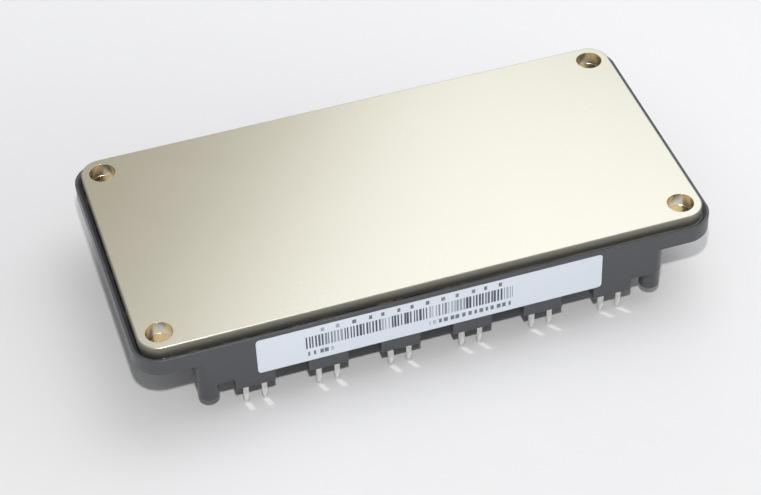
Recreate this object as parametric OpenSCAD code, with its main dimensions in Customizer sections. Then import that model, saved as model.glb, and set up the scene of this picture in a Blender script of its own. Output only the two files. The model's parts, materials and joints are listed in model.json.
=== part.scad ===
// Six-pack IGBT power module with solder pins, standing on its pin tips with the base plate up.
// Origin: centre of the footprint on the plane of the pin tips. +X runs along the module,
// -Y is the side with the signal pins and the label, +Z points out of the base plate.
// All depths are measured down from the outer face of the base plate.

/* [Heights] */
// Base plate face to pin tips
total_h = 20.5; // [19:0.1:24]
// Base plate face to the end of the screw domes, where a circuit board rests
dome_depth = 17; // [16:0.1:17.6]
// Base plate face to the end of the pin blocks
block_depth = 15.1; // [13.5:0.1:15.6]
// Base plate face to the edge of the case walls and the outer face of the lid
wall_depth = 12.2; // [11.5:0.1:12.8]
// Base plate face to the underside of the mounting ears
ear_depth = 6; // [5.2:0.1:6.4]
// How far the base plate stands above the rim of the case
plate_proud = 2.05; // [1.6:0.05:2.2]

/* [Base plate] */
// Thickness of the base plate
plate_t = 3; // [2.6:0.1:3.4]
// Radius of the rolled edge of the base plate
edge_roll = 0.45; // [0.2:0.05:0.6]
// From the outer faces of the flange to the centre of each mounting hole
hole_edge = 6; // [5.6:0.1:6.4]
// Diameter of the mounting holes
hole_d = 5.5; // [4.5:0.1:6]
// Chamfer at the mouth of each mounting hole
hole_chamfer = 0.2; // [0.1:0.05:0.4]

/* [Case frame] */
// Length of the flange
flange_l = 122; // [112:0.5:134]
// Width of the flange and of the body
case_w = 62; // [57:0.5:69]
// Corner radius of the flange
flange_r = 6; // [4.5:0.5:7]
// Length of each mounting ear, from the end of the body to the end of the flange
ear_l = 11.5; // [11:0.25:12.5]
// Width of the lip on top of the rim
lip_w = 0.5; // [0.3:0.05:0.8]
// Height of the slope inside the lip
lip_slope_h = 0.7; // [0.4:0.05:1]
// From the outer face of the flange to the side of the base plate
plate_inset = 1.55; // [1.3:0.05:2]
// Clearance between the base plate and its pocket
pocket_gap = 0.25; // [0.1:0.05:0.4]
// Thickness of the long walls beside the lid
side_wall = 4; // [3.8:0.1:4.2]
// Thickness of the end walls beside the lid
end_wall = 3; // [2.8:0.1:3.4]
// Width of the step that the lid rests on
lid_step = 1; // [0.6:0.1:1.4]
// Width of the ledge under the bonding feet
ledge_w = 3; // [2.6:0.1:3.2]
// Thickness of the ledge under the bonding feet
ledge_t = 3.1; // [2.7:0.1:3.2]

/* [Screw domes] */
// From the faces of the body to the centre of each dome, and corner radius of the body
dome_inset = 2.25; // [2.2:0.05:2.4]
// Diameter of each dome
dome_d = 4.2; // [3.8:0.1:4.4]
// Radius of the rounded end of each dome
dome_round = 0.8; // [0.3:0.1:0.9]
// Diameter of the hole for a thread-forming screw
dome_hole_d = 2.2; // [1.8:0.1:2.4]
// Depth of the screw hole
dome_hole_depth = 9; // [6:0.5:11]

/* [Pins] */
// From the end of the body to the centre of the nearest pair of pins
pair_inset = 11.4; // [11:0.1:11.8]
// From the long faces of the body to the centre of each row of pins
pin_inset = 1.5; // [1.4:0.05:1.7]
// Width of a pin, along the module
pin_w = 1.15; // [0.8:0.05:1.3]
// Thickness of a pin, across the module
pin_t = 0.8; // [0.6:0.05:1]
// Length of the tapered tip of a pin
pin_taper = 1.5; // [1:0.1:2]
// Width of the flat at the end of the tip
pin_tip_w = 0.5; // [0.3:0.05:0.7]
// Clearance between a pin and its slot
pin_gap = 0.05; // [0.03:0.01:0.1]
// Length of the bonding foot on the ledge
foot_l = 2.2; // [1.8:0.1:2.5]
// Width of a pin block
block_w = 8.3; // [7.5:0.1:9]
// Chamfer at the free end of a pin block
block_chamfer = 0.25; // [0.1:0.05:0.4]

/* [Mounting bushes] */
// Outer diameter of a bush
bush_d = 7.6; // [7:0.1:8]
// Clearance between a bush and the adhesive round it
bush_gap = 0.3; // [0.2:0.1:0.5]

/* [Lid] */
// Thickness of the lid
lid_t = 2; // [1.6:0.1:2.2]
// Clearance round the lid
lid_gap = 0.1; // [0.05:0.05:0.2]
// Depth of the recessed panel in the outer face of the lid
lid_panel_depth = 0.4; // [0.2:0.1:0.6]
// Width of the border round the recessed panel
lid_border = 4; // [3:0.5:6]
// Thickness of the stiffening ribs on the inner face
rib_t = 1.2; // [0.8:0.1:1.6]
// Height of the stiffening ribs
rib_h = 0.5; // [0.3:0.1:0.6]

/* [Label] */
// From the ends of the body to the ends of a centred label
label_side = 13; // [8:0.5:25]
// Strip of wall left bare below the label
label_margin = 0.2; // [0.2:0.1:1.5]
// Thickness of the label
label_t = 0.1; // [0.05:0.05:0.2]
// Corner radius of the label
label_r = 0.8; // [0.4:0.1:1.5]
// Base plate face to the upper edge of the label
label_depth = 3; // [2.9:0.1:3.2]
// Offset of the label's centre along the module
label_shift = -0.9; // [-3:0.1:3]
// Clearance round the label in its recess
label_gap = 0.1; // [0.05:0.05:0.2]

/* [Glue and gel] */
// Thickness of the adhesive under the base plate
glue_t = 0.2; // [0.1:0.05:0.3]
// Depth of the adhesive's surface below the rim, in the gap beside the plate
glue_drop = 0.85; // [0.8:0.05:1]
// Base plate face to the free surface of the silicone gel
gel_depth = 9.2; // [8.8:0.1:9.4]
// Clearance between the gel and the substrates and pins it covers
gel_gap = 0.3; // [0.2:0.05:0.4]
// Thickness of the gel over the bond wires
gel_skin = 0.6; // [0.3:0.1:0.7]
// From the edge of the bonding window to the edge of the adhesive
glue_setback = 1; // [0.5:0.1:1.4]

/* [Substrates] */
// From the end wall of the chamber to the first substrate
dbc_end = 0.72; // [0.5:0.02:1.2]
// Gap between neighbouring substrates
dbc_gap = 1.88; // [1.4:0.02:2.4]
// From the bonding ledge to the edge of each substrate
dbc_side = 2; // [1.5:0.1:2.5]
// Thickness of the solder under a substrate
solder_t = 0.2; // [0.1:0.05:0.3]
// Thickness of each copper layer
copper_t = 0.3; // [0.2:0.05:0.4]
// Thickness of the ceramic
ceramic_t = 0.6; // [0.3:0.05:0.7]
// Bare border between the edge of the ceramic and the copper
copper_border = 0.6; // [0.4:0.1:1]
// Gap between neighbouring tracks
track_gap = 1; // [0.6:0.1:1.4]
// Width of the emitter bus along the rear edge of the substrate
bus_w = 3; // [2:0.1:3.4]
// Length of the signal pads, across the module
pad_l = 5; // [4:0.1:5.5]
// Width of the signal pads
pad_w = 2.4; // [1.6:0.1:2.6]

/* [Chips] */
// Side of an IGBT chip
igbt_s = 10; // [8:0.1:11]
// Side of a diode chip
diode_s = 7.5; // [6:0.1:9]
// Thickness of a chip
chip_t = 0.3; // [0.15:0.05:0.4]
// Thickness of the solder under a chip
die_solder_t = 0.1; // [0.05:0.01:0.15]
// From the front end of an island to its diode
chip_front = 1.2; // [0.6:0.1:1.6]
// Gap between an IGBT and its diode
chip_gap = 4; // [3:0.1:5]

/* [Bond wires] */
// Diameter of a bond wire
wire_d = 0.4; // [0.3:0.05:0.5]
// Angle swept by each wire's arc
wire_arc = 100; // [80:5:130]
// Highest rise of a wire's loop above its chord
wire_rise = 3; // [2:0.1:3.3]
// Spacing between neighbouring wires
wire_pitch = 3; // [2.8:0.1:3.2]

/* [Hidden] */
PHASES = ["u", "v", "w"];
SIGNALS = 6;
EARS = 4;
eps = 0.01;
$fn = 48;

// Levels above the pin tips
z_rim = total_h - plate_proud;
z_inner = total_h - plate_t;
z_seat = z_inner - glue_t;
z_ear = total_h - ear_depth;
z_wall = total_h - wall_depth;
z_block = total_h - block_depth;
z_dome = total_h - dome_depth;
z_ledge = z_seat - ledge_t;
z_lid = z_wall + lid_t;
z_gel = total_h - gel_depth;
z_ceramic = z_inner - solder_t - copper_t;
z_copper = z_ceramic - ceramic_t;
z_track = z_copper - copper_t;
z_chip = z_track - die_solder_t;
z_chip_face = z_chip - chip_t;

// Plan sizes
body_l = flange_l - 2 * ear_l;
body_r = dome_inset;
hole_pitch_x = flange_l - 2 * hole_edge;
hole_pitch_y = case_w - 2 * hole_edge;
dome_pitch_x = body_l - 2 * dome_inset;
dome_pitch_y = case_w - 2 * dome_inset;
plate_l = flange_l - 2 * plate_inset;
plate_w = case_w - 2 * plate_inset;
plate_r = flange_r - plate_inset;
pocket_l = plate_l + 2 * pocket_gap;
pocket_w = plate_w + 2 * pocket_gap;
pocket_r = plate_r + pocket_gap;
lid_pocket_l = body_l - 2 * end_wall;
lid_pocket_w = case_w - 2 * side_wall;
lid_pocket_r = 2;
chamber_l = lid_pocket_l - 2 * lid_step;
chamber_w = lid_pocket_w - 2 * lid_step;
window_w = chamber_w - 2 * ledge_w;
chamber_r = lid_pocket_r - lid_step / 2;
label_l = body_l - 2 * label_side;
label_h = wall_depth - label_depth - label_margin;
label_top = total_h - label_depth;
dbc_pitch = (chamber_l - 2 * dbc_end + dbc_gap) / 3;
dbc_l = dbc_pitch - dbc_gap;
dbc_w = window_w - 2 * dbc_side;

// Places along the module. The two pins of a pair stand a quarter of the pair pitch apart.
pair_pitch = (body_l - 2 * pair_inset) / (SIGNALS - 1);
pin_pitch = pair_pitch / 4;
phase_x = [for (i = [0:2]) (i - 1) * dbc_pitch];
pair_x = [for (i = [0:SIGNALS - 1]) (i - (SIGNALS - 1) / 2) * pair_pitch];
TERMINALS = ["u", "n", "v", "p", "w"];
terminal_x = [for (i = [0:4]) (i - 2) * pair_pitch];
gel_wall = (dbc_pitch - dbc_l) / 2;
pin_y = case_w / 2 - pin_inset;

// ---------------------------------------------------------------- helpers

// Rectangle with rounded corners, centred on the origin
module round_rect(l, w, r) {
    union() {
        square([l - 2 * r, w], center = true);
        square([l, w - 2 * r], center = true);
        for (sx = [-1, 1], sy = [-1, 1])
            translate([sx * (l / 2 - r), sy * (w / 2 - r)]) circle(r);
    }
}

// Block with rounded corners from level z0 up to z1
module slab(l, w, r, z0, z1) {
    translate([0, 0, z0]) linear_extrude(z1 - z0) round_rect(l, w, r);
}

// Sweeps a profile round a rectangle with rounded corners. The profile's x is measured outward
// from the corner centres and its y is the height.
module sweep_round(l, w, r) {
    x = l / 2 - r;
    y = w / 2 - r;
    for (corner = [[x, y, 0], [-x, y, 90], [-x, -y, 180], [x, -y, 270]])
        translate([corner[0], corner[1], 0])
            rotate([0, 0, corner[2]]) rotate_extrude(angle = 90) children();
    for (side = [[x, y, 0, 2 * y], [-x, y, 90, 2 * x], [-x, -y, 180, 2 * y], [x, -y, 270, 2 * x]])
        translate([side[0], side[1], 0]) rotate([90, 0, side[2]]) linear_extrude(side[3]) children();
}

// Places its child on each mounting hole
module at_holes() {
    for (sx = [-1, 1], sy = [-1, 1])
        translate([sx * hole_pitch_x / 2, sy * hole_pitch_y / 2, 0]) children();
}

// Places its child on each screw dome
module at_domes() {
    for (sx = [-1, 1], sy = [-1, 1])
        translate([sx * dome_pitch_x / 2, sy * dome_pitch_y / 2, 0]) children();
}

// Number of the ear: 1 front left, 2 front right, 3 rear right, 4 rear left
function ear_at(i) = [
    (i == 2 || i == 3 ? 1 : -1) * hole_pitch_x / 2,
    (i > 2 ? 1 : -1) * hole_pitch_y / 2
];

// ------------------------------------------------------------- base plate

// Half section of the plate's edge, with the rolled corner at the outer face
module plate_profile() {
    square([plate_r, plate_t - edge_roll]);
    square([plate_r - edge_roll, plate_t]);
    translate([plate_r - edge_roll, plate_t - edge_roll]) circle(edge_roll);
}

module base_plate() {
    color([0.86, 0.83, 0.72]) difference() {
        translate([0, 0, z_inner]) union() {
            sweep_round(plate_l, plate_w, plate_r) plate_profile();
            translate([-plate_l / 2 + plate_r, -plate_w / 2 + plate_r, 0])
                cube([plate_l - 2 * plate_r, plate_w - 2 * plate_r, plate_t]);
        }
        at_holes() {
            translate([0, 0, z_inner - 1]) cylinder(d = hole_d, h = plate_t + 2);
            translate([0, 0, total_h - hole_chamfer])
                cylinder(d1 = hole_d, d2 = hole_d + 4 * hole_chamfer, h = 2 * hole_chamfer);
        }
    }
}

// ------------------------------------------------------------- case frame

// One screw dome with its rounded end
module dome() {
    r = dome_d / 2;
    translate([0, 0, z_dome]) rotate_extrude() union() {
        square([r - dome_round, z_wall - z_dome + 1]);
        translate([0, dome_round]) square([r, z_wall - z_dome + 1 - dome_round]);
        translate([r - dome_round, dome_round]) circle(dome_round);
    }
}

// One pin block, outer face at +Y, with chamfered lower edges along the module
module pin_block() {
    h = z_wall - z_block + 1;
    translate([-block_w / 2, case_w / 2 - side_wall, z_block]) rotate([90, 0, 90]) linear_extrude(block_w)
        polygon([
            [block_chamfer, 0], [side_wall - block_chamfer, 0], [side_wall, block_chamfer],
            [side_wall, h], [0, h], [0, block_chamfer]
        ]);
}

// Slot for one pin at x, on the side given by s: the shank, and the foot's way in to the chamber
module pin_slot(x, s) {
    w = pin_w + 2 * pin_gap;
    t = pin_t + 2 * pin_gap;
    translate([x - w / 2, s * pin_y - t / 2, z_block - 1]) cube([w, t, z_ledge - z_block + 1]);
    translate([x - w / 2, s > 0 ? chamber_w / 2 - 1 : -pin_y - t / 2, z_ledge - pin_t - pin_gap])
        cube([w, pin_y + t / 2 - chamber_w / 2 + 1, pin_t + pin_gap]);
}

// Rim section above the seat: pocket wall, slope and lip, cut away from the flange
module pocket_profile() {
    polygon([
        [0, z_seat], [pocket_r, z_seat], [pocket_r, z_rim - lip_slope_h],
        [flange_r - lip_w, z_rim], [flange_r - lip_w, z_rim + 1], [0, z_rim + 1]
    ]);
}

module plate_pocket() {
    sweep_round(flange_l, case_w, flange_r) pocket_profile();
    translate([-flange_l / 2 + flange_r, -case_w / 2 + flange_r, z_seat])
        cube([flange_l - 2 * flange_r, case_w - 2 * flange_r, z_rim - z_seat + 1]);
}

// Shallow recess for the label in the front wall
module label_recess() {
    translate([label_shift, -case_w / 2 + label_t, label_top - label_h / 2]) rotate([90, 0, 0])
        linear_extrude(1) round_rect(label_l + 2 * label_gap, label_h + 2 * label_gap, label_r + label_gap);
}

module case_frame() {
    color([0.33, 0.34, 0.36]) difference() {
        union() {
            slab(flange_l, case_w, flange_r, z_ear, z_rim);
            slab(body_l, case_w, body_r, z_wall, z_ear + 1);
            at_domes() dome();
            for (x = pair_x) mirror([0, 1, 0]) translate([x, 0, 0]) pin_block();
            for (x = terminal_x) translate([x, 0, 0]) pin_block();
        }
        plate_pocket();
        slab(chamber_l, window_w, chamber_r, z_ledge - 1, z_seat + 1);
        slab(chamber_l, chamber_w, chamber_r, z_lid - 1, z_ledge);
        slab(lid_pocket_l, lid_pocket_w, lid_pocket_r, z_wall - 1, z_lid);
        at_holes() translate([0, 0, z_ear - 1]) cylinder(d = bush_d, h = z_seat - z_ear + 2);
        at_domes() translate([0, 0, z_dome - 1]) cylinder(d = dome_hole_d, h = dome_hole_depth + 1);
        for (x = pair_x, side = [-1, 1]) pin_slot(x + side * pin_pitch / 2, -1);
        for (x = terminal_x, side = [-1, 1]) pin_slot(x + side * pin_pitch / 2, 1);
        label_recess();
    }
}

module mounting_bush(i) {
    color([0.78, 0.62, 0.32]) translate(concat(ear_at(i), z_ear)) difference() {
        cylinder(d = bush_d, h = z_inner - z_ear);
        translate([0, 0, -1]) cylinder(d = hole_d, h = z_inner - z_ear + 2);
    }
}

// ------------------------------------------------------------------- pins

// One stamped pin at the origin's x, rear side: tapered tip, shank, and a foot against the ledge
module pin() {
    half = pin_w / 2;
    tip = pin_tip_w / 2;
    foot_end = chamber_w / 2 - foot_l;
    translate([0, pin_y + pin_t / 2, 0]) rotate([90, 0, 0]) linear_extrude(pin_t) polygon([
        [-tip, 0], [tip, 0], [half, pin_taper], [half, z_ledge], [-half, z_ledge], [-half, pin_taper]
    ]);
    translate([-half, foot_end, z_ledge - pin_t]) cube([pin_w, pin_y - foot_end, pin_t]);
}

// Signal pin: side -1 is the gate pin of pair i and side 1 its emitter pin
module signal_pin(i, side) {
    color([0.8, 0.8, 0.78]) mirror([0, 1, 0]) translate([pair_x[i - 1] + side * pin_pitch / 2, 0, 0]) pin();
}

// Power terminal i: two prongs joined by a bar along their bonding feet
module terminal(i) {
    foot_end = chamber_w / 2 - foot_l;
    color([0.8, 0.8, 0.78]) translate([terminal_x[i], 0, 0]) union() {
        for (side = [-1, 1]) translate([side * pin_pitch / 2, 0, 0]) pin();
        translate([-pin_pitch / 2, foot_end, z_ledge - pin_t]) cube([pin_pitch, foot_l - pin_gap, pin_t]);
    }
}

// -------------------------------------------------------------------- lid

module lid() {
    l = lid_pocket_l - 2 * lid_gap;
    w = lid_pocket_w - 2 * lid_gap;
    r = lid_pocket_r - lid_gap;
    color([0.3, 0.31, 0.33]) difference() {
        union() {
            slab(l, w, r, z_wall, z_lid);
            for (x = [-pair_pitch, pair_pitch])
                translate([x - rib_t / 2, -window_w / 2, z_lid - eps]) cube([rib_t, window_w, rib_h + eps]);
        }
        slab(l - 2 * lid_border, w - 2 * lid_border, r, z_wall - 1, z_wall + lid_panel_depth);
    }
}

// ------------------------------------------------------- label, glue, gel

module label() {
    color([0.9, 0.91, 0.93]) translate([label_shift, -case_w / 2 + label_t, label_top - label_h / 2])
        rotate([90, 0, 0]) linear_extrude(label_t) round_rect(label_l, label_h, label_r);
}

// Adhesive under the plate's edge and in the gap beside it, with a sloping free surface
module adhesive_bead() {
    z_top = z_rim - glue_drop;
    color([0.16, 0.15, 0.14]) difference() {
        union() {
            sweep_round(pocket_l, pocket_w, pocket_r) polygon([
                [0, z_seat], [pocket_r, z_seat], [pocket_r, z_top],
                [plate_r, z_top + pocket_gap], [plate_r, z_inner], [0, z_inner]
            ]);
            translate([-pocket_l / 2 + pocket_r, -pocket_w / 2 + pocket_r, z_seat])
                cube([pocket_l - 2 * pocket_r, pocket_w - 2 * pocket_r, glue_t]);
        }
        slab(chamber_l + 2 * glue_setback, window_w + 2 * glue_setback, chamber_r, z_seat - 1, z_inner + 1);
        at_holes() translate([0, 0, z_seat - 1]) cylinder(d = bush_d + 2 * bush_gap, h = glue_t + 2);
    }
}

// Gel that fills the chamber behind the base plate, with a pocket over each phase
module silicone_gel() {
    pocket = dbc_l + 2 * gel_gap;
    color([0.8, 0.85, 0.9, 0.5]) difference() {
        union() {
            slab(chamber_l, window_w, chamber_r, z_gel, z_inner);
            slab(chamber_l, chamber_w, chamber_r, z_gel, z_ledge);
        }
        for (x = phase_x)
            translate([x - pocket / 2, -case_w / 2, z_gel + gel_skin]) cube([pocket, case_w, z_inner]);
        for (i = [1, 3])
            translate([terminal_x[i] - gel_wall, chamber_w / 2 - foot_l - gel_gap, z_ledge - pin_t - gel_gap])
                cube([2 * gel_wall, case_w, pin_t + gel_gap + eps]);
    }
}

// ------------------------------------------------------------- substrates

// A layer of substrate p, inset by b all round, from level z down by t
module layer(p, b, z, t) {
    translate([phase_x[p] - dbc_l / 2 + b, -dbc_w / 2 + b, z - t]) cube([dbc_l - 2 * b, dbc_w - 2 * b, t]);
}

module substrate_solder(p) { color([0.62, 0.63, 0.65]) layer(p, copper_border, z_inner, solder_t); }
module back_copper(p) { color([0.8, 0.5, 0.3]) layer(p, copper_border, z_inner - solder_t, copper_t); }
module ceramic(p) { color([0.93, 0.93, 0.9]) layer(p, 0, z_ceramic, ceramic_t); }

// Tracks of substrate p: two collector islands, the emitter bus, and the signal pads
track_y0 = -dbc_w / 2 + copper_border + pad_l + track_gap;
track_y1 = dbc_w / 2 - copper_border - bus_w - track_gap;
island_w = dbc_l / 2 - copper_border - track_gap / 2;
function pads_of(p) = [for (i = [2 * p, 2 * p + 1], side = [-1, 1]) pair_x[i] + side * pin_pitch / 2];

module top_copper(p) {
    color([0.82, 0.52, 0.32]) translate([phase_x[p], 0, z_track]) {
        for (s = [-1, 1])
            translate([s > 0 ? track_gap / 2 : -track_gap / 2 - island_w, track_y0, 0])
                cube([island_w, track_y1 - track_y0, copper_t]);
        translate([-dbc_l / 2 + copper_border, track_y1 + track_gap, 0])
            cube([dbc_l - 2 * copper_border, bus_w, copper_t]);
        for (x = pads_of(p)) translate([x - phase_x[p] - pad_w / 2, -dbc_w / 2 + copper_border, 0])
            cube([pad_w, pad_l, copper_t]);
    }
}

// ------------------------------------------------------------------ chips

// Chip i stands in line with signal pair i, with its diode beside it on the same island
function chip_x(i) = pair_x[i - 1];
diode_y = track_y0 + chip_front + diode_s / 2;
igbt_y = diode_y + (diode_s + igbt_s) / 2 + chip_gap;

// A square plate of side s under (x, y), hanging from level z
module die(x, y, s, z, t) {
    translate([x - s / 2, y - s / 2, z - t]) cube([s, s, t]);
}

module chip_solder(p) {
    color([0.62, 0.63, 0.65]) for (i = [2 * p + 1, 2 * p + 2]) {
        die(chip_x(i), igbt_y, igbt_s, z_track, die_solder_t);
        die(chip_x(i), diode_y, diode_s, z_track, die_solder_t);
    }
}

module igbt_chip(i) { color([0.45, 0.47, 0.52]) die(chip_x(i), igbt_y, igbt_s, z_chip, chip_t); }
module diode_chip(i) { color([0.5, 0.52, 0.56]) die(chip_x(i), diode_y, diode_s, z_chip, chip_t); }

// ------------------------------------------------------------- bond wires

// Wire that hangs in an arc from a = [x, y, z] to b, its ends cut flush with their two surfaces
module wire(a, b) {
    run = norm([b[0] - a[0], b[1] - a[1]]);
    tilt = atan2(b[2] - a[2], run);
    turn = min(wire_arc, 4 * atan(2 * wire_rise / norm(b - a)));
    radius = norm(b - a) / 2 / sin(turn / 2);
    lift = radius * cos(turn / 2);
    start = tilt - 90 - turn / 2 - 5;
    translate([a[0], a[1], 0]) rotate([0, 0, atan2(b[1] - a[1], b[0] - a[0])]) intersection() {
        translate([run / 2 - lift * sin(tilt), 0, (a[2] + b[2]) / 2 + lift * cos(tilt)]) rotate([90, 0, 0])
            rotate([0, 0, start]) rotate_extrude(angle = turn + 10)
                translate([radius, 0]) circle(d = wire_d);
        for (end = [[-run, a[2]], [run / 2 - eps, b[2]]])
            translate([end[0], -wire_d, end[1] - 2 * run]) cube([1.5 * run + eps, 2 * wire_d, 2 * run]);
    }
}

// Wire along the module's width at x, from [y, z] to [y, z]
module wire_y(x, a, b) {
    wire([x, a[0], a[1]], [x, b[0], b[1]]);
}

// Wires of phase p: chip to chip, chip to track, pad to gate, and pin or terminal foot to track
module bond_wires(p) {
    high = pair_x[2 * p];
    low = pair_x[2 * p + 1];
    cross_y = diode_y - diode_s / 5;
    pad_y = -dbc_w / 2 + copper_border + pad_l / 2;
    bus_y = track_y1 + track_gap + bus_w / 2;
    igbt_gate = [igbt_y - igbt_s / 2 + 0.6, z_chip_face];
    near_foot = [-chamber_w / 2 + foot_l / 2, z_ledge - pin_t];
    far_foot = [chamber_w / 2 - foot_l / 2, z_ledge - pin_t];
    island_end = [track_y1 - 1, z_track];
    color([0.85, 0.86, 0.88]) {
        for (x = pads_of(p)) {
            wire_y(x, near_foot, [pad_y - pad_l / 4, z_track]);
            wire_y(x, [pad_y + pad_l / 4, z_track], igbt_gate);
        }
        for (k = [-wire_pitch, 0, wire_pitch]) {
            for (x = [high, low])
                wire_y(x + k, [igbt_y - igbt_s / 3, z_chip_face], [diode_y + diode_s / 4, z_chip_face]);
            wire_y(low + k, [igbt_y + igbt_s / 3, z_chip_face], [bus_y, z_track]);
            wire([high + diode_s * 0.4, cross_y + k / 2, z_chip_face],
                 [phase_x[p] + track_gap / 2 + 1.2, cross_y + k / 2, z_track]);
        }
        for (x = [track_gap / 2 + 0.6, pin_pitch / 2]) wire_y(phase_x[p] + x, far_foot, island_end);
        if (p < 2)
            wire_y(terminal_x[2 * p + 1] - pin_pitch / 2, far_foot, p == 0 ? [bus_y, z_track] : island_end);
        if (p > 0)
            wire_y(terminal_x[2 * p - 1] + pin_pitch / 2, far_foot, p == 1 ? [bus_y, z_track] : island_end);
    }
}

// --------------------------------------------------------------- assembly

base_plate();
case_frame();
lid();
adhesive_bead();
label();
silicone_gel();
for (i = [1:EARS]) mounting_bush(i);
for (i = [1:SIGNALS]) {
    signal_pin(i, -1);
    signal_pin(i, 1);
    igbt_chip(i);
    diode_chip(i);
}
for (i = [0:4]) terminal(i);
for (p = [0:2]) {
    substrate_solder(p);
    back_copper(p);
    ceramic(p);
    top_copper(p);
    chip_solder(p);
    bond_wires(p);
}
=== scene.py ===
import json
import math
from functools import cache

import bmesh
import bpy
from bpy.props import FloatProperty, FloatVectorProperty, IntProperty, PointerProperty
from mathutils import Matrix, Vector

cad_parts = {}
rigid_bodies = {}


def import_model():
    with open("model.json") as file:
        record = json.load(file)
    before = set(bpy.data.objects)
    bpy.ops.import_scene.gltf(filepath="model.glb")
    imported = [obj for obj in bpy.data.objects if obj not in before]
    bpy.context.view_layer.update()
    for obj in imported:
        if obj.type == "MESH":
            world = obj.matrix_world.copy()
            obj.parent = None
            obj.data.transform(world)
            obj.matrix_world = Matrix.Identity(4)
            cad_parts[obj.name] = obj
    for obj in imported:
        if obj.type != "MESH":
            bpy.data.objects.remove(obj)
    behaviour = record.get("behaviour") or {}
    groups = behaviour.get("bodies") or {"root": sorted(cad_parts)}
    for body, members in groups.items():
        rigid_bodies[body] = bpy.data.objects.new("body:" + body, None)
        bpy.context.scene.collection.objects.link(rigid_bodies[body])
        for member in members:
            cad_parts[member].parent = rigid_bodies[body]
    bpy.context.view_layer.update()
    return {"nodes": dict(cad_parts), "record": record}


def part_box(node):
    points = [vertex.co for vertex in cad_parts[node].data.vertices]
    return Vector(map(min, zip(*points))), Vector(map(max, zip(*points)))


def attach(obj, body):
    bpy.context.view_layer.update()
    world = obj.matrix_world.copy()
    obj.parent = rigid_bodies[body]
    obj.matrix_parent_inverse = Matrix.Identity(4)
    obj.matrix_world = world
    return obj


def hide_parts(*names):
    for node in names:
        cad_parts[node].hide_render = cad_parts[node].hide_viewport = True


bl_info = {
    "name": "Power Module Dresser",
    "version": (1, 0, 0),
    "blender": (4, 5, 0),
    "location": "View3D > Sidebar > Module",
    "description": "Builds the finished surfaces of a solder-pin power module round its packed frame",
    "category": "Object",
}

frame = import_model()
NODES = frame["nodes"]
MM = 0.001
BODY = "root"
TERMINALS = ("u", "n", "v", "p", "w")
PHASES = ("u", "v", "w")
SWITCHES = range(1, 7)
SIGNAL_PINS = [f"{kind}_pin_{i}" for kind in ("gate", "emitter") for i in SWITCHES]


# ---- sizes read from the frame


def span(node, axis):
    """Lowest and highest place of a frame node along an axis, in millimetres."""
    low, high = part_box(node)
    return low[axis] / MM, high[axis] / MM


def middle(node, axis):
    """Middle of a frame node along an axis, in millimetres."""
    return sum(span(node, axis)) / 2


def reach(node, axis, low, high):
    """Furthest place along an axis of the part of a node between two heights, in millimetres."""
    points = [v.co for v in NODES[node].data.vertices if low * MM < v.co.z < high * MM]
    return max(p[axis] for p in points) / MM


Z_INNER, Z_FACE = span("base_plate", 2)
Z_DOME, Z_RIM = span("case_frame", 2)
Z_WALL, Z_RIB = span("lid", 2)
Z_SEAT, Z_GLUE = span("adhesive_bead", 2)
Z_EAR = span("mounting_bush_1", 2)[0]
HOLE_X, HOLE_Y = middle("mounting_bush_3", 0), middle("mounting_bush_3", 1)
BUSH_R = (span("mounting_bush_3", 0)[1] - span("mounting_bush_3", 0)[0]) / 2
PLATE_R = span("base_plate", 0)[1] - HOLE_X
FLANGE_R = span("case_frame", 0)[1] - HOLE_X
POCKET_R = span("adhesive_bead", 0)[1] - HOLE_X
CASE_Y = span("case_frame", 1)[1]
BODY_X = reach("case_frame", 0, 0, Z_EAR - 0.5)
CHAMBER_X, CHAMBER_Y = span("silicone_gel", 0)[1], span("silicone_gel", 1)[1]
LID_X, LID_Y = span("lid", 0)[1], span("lid", 1)[1]
LABEL_X, LABEL_Y, LABEL_Z = (span("label", axis) for axis in range(3))
PIN_OUT, PIN_END = -span("gate_pin_1", 1)[0], -span("gate_pin_1", 1)[1]
PIN_TOP = span("gate_pin_1", 2)[1]
PIN_W = span("gate_pin_2", 0)[1] - span("gate_pin_2", 0)[0]
FOOT = [v.co.z for v in NODES["gate_pin_1"].data.vertices if v.co.y > -PIN_END * MM - 1e-5]
PIN_T = PIN_TOP - min(FOOT) / MM
LID_T = 2.0
Z_LID = Z_WALL + LID_T
WINDOW_Y = reach("lid", 1, Z_LID + 0.1, Z_FACE)
LID_GAP = 0.1
LABEL_GAP = 0.1
SLOT_GAP = 0.05
PAST = 1.0  # how far a cutter runs past the face that it cuts
MOUNTS = {mount["name"]: mount["dims"] for mount in frame["record"]["mounts"]}
HOLE_R = MOUNTS["mounting_holes"]["hole_r_mm"]
SCREWS = MOUNTS["board_screw_holes"]
DOME_X, DOME_Y, DOME_HOLE_R = SCREWS["spacing_x_mm"] / 2, SCREWS["spacing_y_mm"] / 2, SCREWS["hole_r_mm"]
SIGNS = ((-1, -1), (1, -1), (1, 1), (-1, 1))
CORNERS = ((1, 1, 0), (-1, 1, 90), (-1, -1, 180), (1, -1, 270))  # signs and first angle, anticlockwise


# ---- settings


def length(name, value, about):
    """A size setting, given in millimetres."""
    return FloatProperty(
        name=name, description=about, default=value * MM, min=0, unit="LENGTH", precision=5
    )


def colour(name, value, about):
    """A colour setting, in scene linear values."""
    return FloatVectorProperty(
        name=name, description=about, default=value, size=3, subtype="COLOR", min=0, max=1
    )


def amount(name, value, about):
    """A plain factor setting."""
    return FloatProperty(name=name, description=about, default=value, min=0, max=1, subtype="FACTOR")


def watts(name, value, about):
    """The power setting of a lamp."""
    return FloatProperty(name=name, description=about, default=value, min=0, unit="POWER")


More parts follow.
